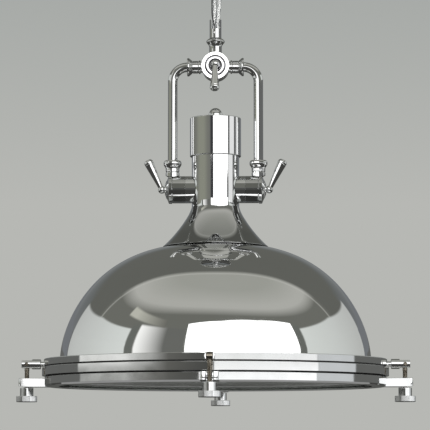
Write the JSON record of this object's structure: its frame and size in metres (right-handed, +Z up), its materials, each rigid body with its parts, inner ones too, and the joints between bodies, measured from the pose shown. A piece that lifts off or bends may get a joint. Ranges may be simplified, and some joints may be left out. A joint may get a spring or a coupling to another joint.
{
  "type": "industrial pendant lamp",
  "caption": "Chromed industrial pendant lamp: a wide spun dome with a bolted lens ring, tilting in a tubular yoke that hangs from a ceiling canopy.",
  "frame": {"origin": "centre of the flat top face of the ceiling bracket, where the lamp meets the ceiling", "axes": "+Z up, out of the bracket towards the ceiling; yoke legs at +X and -X; hub lever faces -Y"},
  "size_m": [0.4772, 0.4772, 0.5445],
  "materials": {
    "chrome": "polished chrome plate on steel",
    "chrome_alu": "polished chrome plate on cast aluminium",
    "steel": "zinc-plated steel",
    "wire": "galvanised stranded wire",
    "clear_flex": "clear insulation over tinned strands",
    "rubber": "matt black rubber",
    "glass": "clear glass",
    "ceramic": "white glaze",
    "cap_metal": "plated brass"
  },
  "bodies": {
    "root": {"ceiling_bracket": "steel", "canopy_cup": "chrome", "canopy_screw_left": "chrome", "canopy_screw_right": "chrome", "canopy_gland": "chrome", "wire_gripper": "chrome", "terminal_block": "ceramic", "wire_rope": "wire", "flex_left": "clear_flex", "flex_right": "clear_flex", "wire_ferrule": "steel", "stem_fork": "chrome", "stem_set_screw": "steel", "stem_collar": "chrome", "hub_core": "steel", "hub_front_disc": "chrome", "hub_ring": "chrome"},
    "hub_lever": {"hub_lever": "chrome"},
    "yoke": {"hub_body": "chrome", "collar_top_left": "chrome", "collar_top_right": "chrome", "yoke_tube_left": "chrome", "yoke_tube_right": "chrome", "collar_low_left": "chrome", "collar_low_right": "chrome", "pivot_barrel_left": "chrome", "pivot_barrel_right": "chrome", "barrel_end_left": "chrome", "barrel_end_right": "chrome"},
    "lever_left": {"lever_left": "chrome"},
    "lever_right": {"lever_right": "chrome"},
    "shade": {"neck_finial": "chrome", "neck_cap": "chrome", "neck_trumpet": "chrome", "pivot_boss_left": "chrome", "pivot_boss_right": "chrome", "dome_shell": "chrome", "rim_band": "chrome_alu", "rim_gasket": "rubber", "middle_ring": "chrome_alu", "lens_gasket": "rubber", "lens_ring": "chrome_alu", "lens_glass": "glass", "lamp_holder": "ceramic", "bulb_glass": "glass", "bulb_cap": "cap_metal", "clamp_post_right": "chrome", "clamp_post_back": "chrome", "clamp_post_left": "chrome", "clamp_post_front": "chrome"},
    "bolt_right": {"eye_bolt_right": "chrome"},
    "nut_right": {"thumb_nut_right": "chrome"},
    "bolt_back": {"eye_bolt_back": "chrome"},
    "nut_back": {"thumb_nut_back": "chrome"},
    "bolt_left": {"eye_bolt_left": "chrome"},
    "nut_left": {"thumb_nut_left": "chrome"},
    "bolt_front": {"eye_bolt_front": "chrome"},
    "nut_front": {"thumb_nut_front": "chrome"}
  },
  "joints": [
    {"name": "yoke_swing", "type": "hinge", "parent": "root", "child": "yoke", "pos_m": [0, 0, -0.1388], "axis": [0, 1, 0], "range_deg": [-27, 27]},
    {"name": "shade_tilt", "type": "hinge", "parent": "yoke", "child": "shade", "pos_m": [0, 0, -0.2888], "axis": [1, 0, 0], "range_deg": [-105, 105]},
    {"name": "hub_lever_turn", "type": "hinge", "parent": "root", "child": "hub_lever", "pos_m": [0, -0.024, -0.1388], "axis": [0, -1, 0], "range_deg": [0, 270]},
    {"name": "lever_left_turn", "type": "hinge", "parent": "shade", "child": "lever_left", "pos_m": [-0.0649, 0, -0.2888], "axis": [-1, 0, 0], "range_deg": [0, 270]},
    {"name": "lever_right_turn", "type": "hinge", "parent": "shade", "child": "lever_right", "pos_m": [0.0649, 0, -0.2888], "axis": [1, 0, 0], "range_deg": [0, 270]},
    {"name": "bolt_right_swing", "type": "hinge", "parent": "shade", "child": "bolt_right", "pos_m": [0.2265, 0, -0.4993], "axis": [0, -1, 0], "range_deg": [0, 200]},
    {"name": "nut_right_turn", "type": "hinge", "parent": "bolt_right", "child": "nut_right", "pos_m": [0.2265, 0, -0.5359], "axis": [0, 0, -1], "range_deg": [0, 720]},
    {"name": "bolt_back_swing", "type": "hinge", "parent": "shade", "child": "bolt_back", "pos_m": [0, 0.2265, -0.4993], "axis": [1, 0, 0], "range_deg": [0, 200]},
    {"name": "nut_back_turn", "type": "hinge", "parent": "bolt_back", "child": "nut_back", "pos_m": [0, 0.2265, -0.5359], "axis": [0, 0, -1], "range_deg": [0, 720]},
    {"name": "bolt_left_swing", "type": "hinge", "parent": "shade", "child": "bolt_left", "pos_m": [-0.2265, 0, -0.4993], "axis": [0, 1, 0], "range_deg": [0, 200]},
    {"name": "nut_left_turn", "type": "hinge", "parent": "bolt_left", "child": "nut_left", "pos_m": [-0.2265, 0, -0.5359], "axis": [0, 0, -1], "range_deg": [0, 720]},
    {"name": "bolt_front_swing", "type": "hinge", "parent": "shade", "child": "bolt_front", "pos_m": [0, -0.2265, -0.4993], "axis": [-1, 0, 0], "range_deg": [0, 200]},
    {"name": "nut_front_turn", "type": "hinge", "parent": "bolt_front", "child": "nut_front", "pos_m": [0, -0.2265, -0.5359], "axis": [0, 0, -1], "range_deg": [0, 720]}
  ]
}
